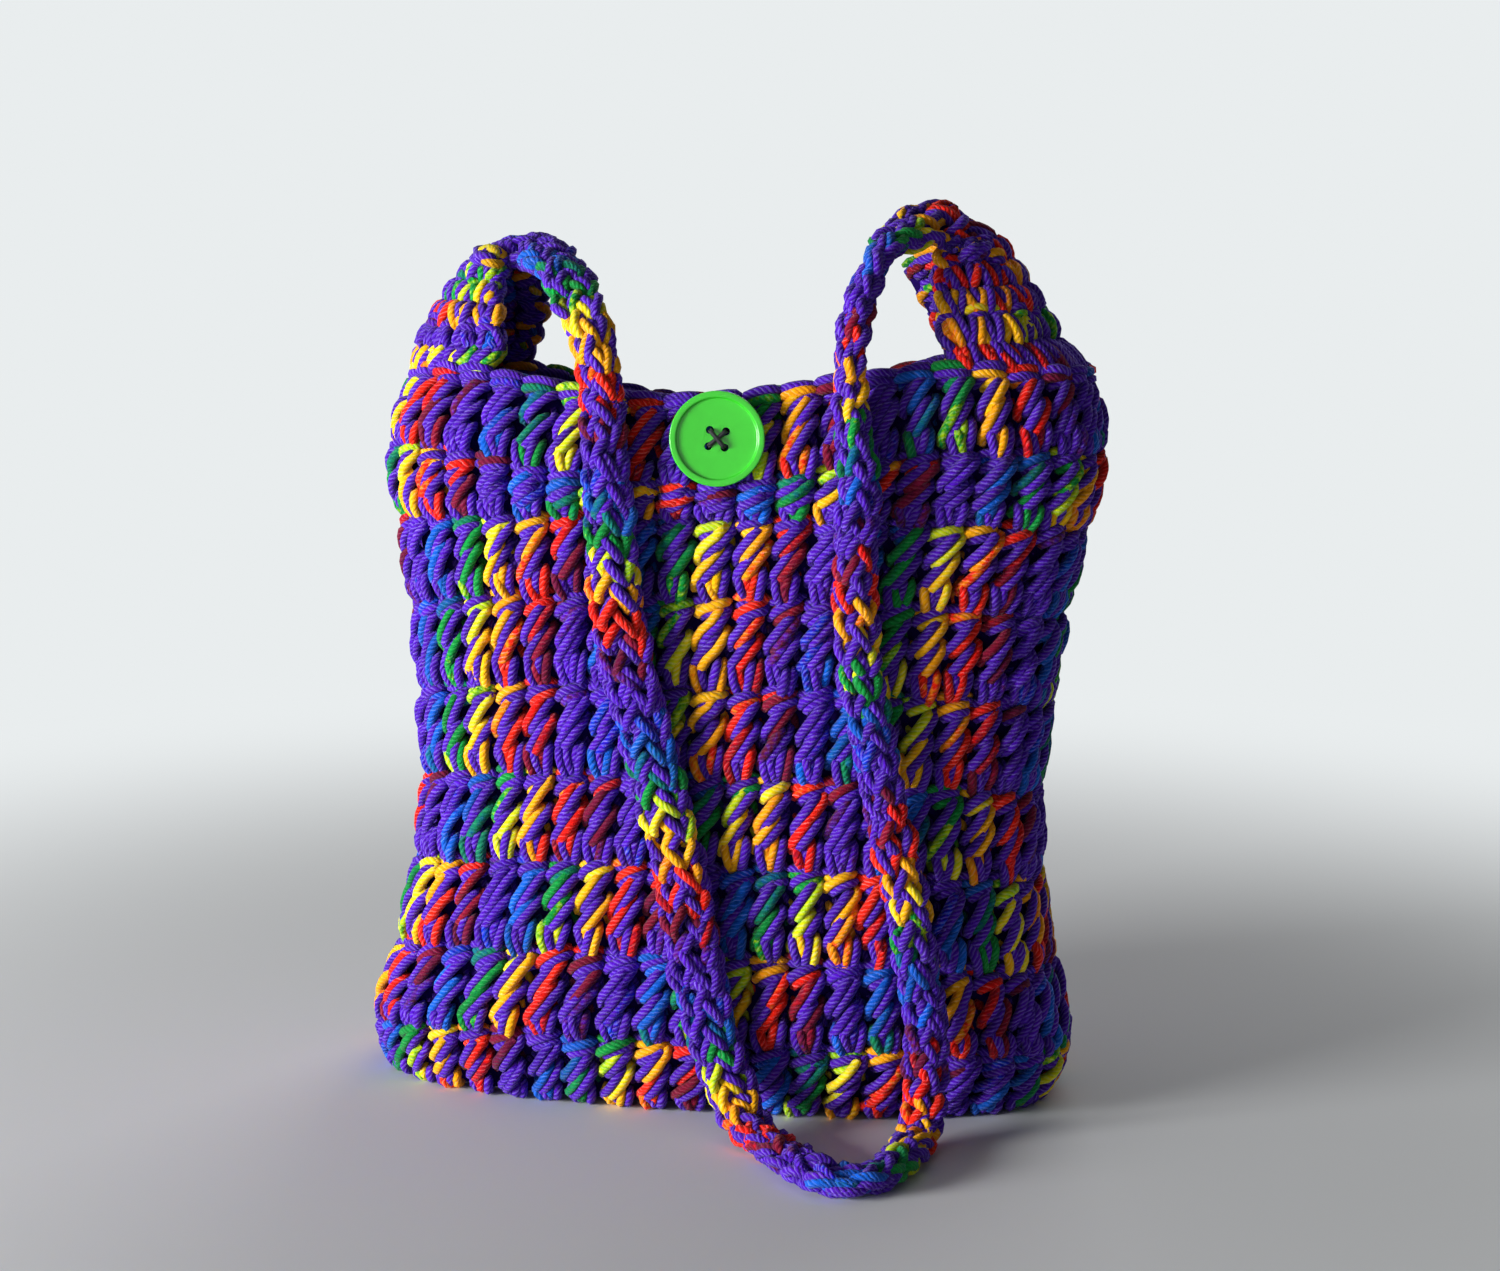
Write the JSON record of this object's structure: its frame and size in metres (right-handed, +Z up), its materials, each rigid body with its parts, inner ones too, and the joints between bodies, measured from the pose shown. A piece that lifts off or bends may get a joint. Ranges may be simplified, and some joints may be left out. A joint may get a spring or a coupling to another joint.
{
  "type": "crochet hobo bag",
  "caption": "Small crocheted shoulder bag worked in the round from rainbow and purple yarn, with a strap sewn to the sides of its open mouth and a large button on the front.",
  "frame": {"origin": "on the table, under the middle of the bag's flat floor", "axes": "+Z up to the mouth, -Y out of the front that carries the button, +X to the right of someone who faces that front"},
  "size_m": [0.281, 0.1923, 0.3334],
  "materials": {
    "body_yarn": "soft matt acrylic yarn, purple and rainbow strands held together",
    "strap_yarn": "soft matt acrylic yarn, purple and rainbow strands held together",
    "button_plastic": "glossy moulded green plastic",
    "sewing_thread": "dark purple sewing thread"
  },
  "bodies": {
    "root": {"bag_body": "body_yarn", "shoulder_strap": "strap_yarn", "button": "button_plastic", "button_thread": "sewing_thread"}
  },
  "joints": []
}
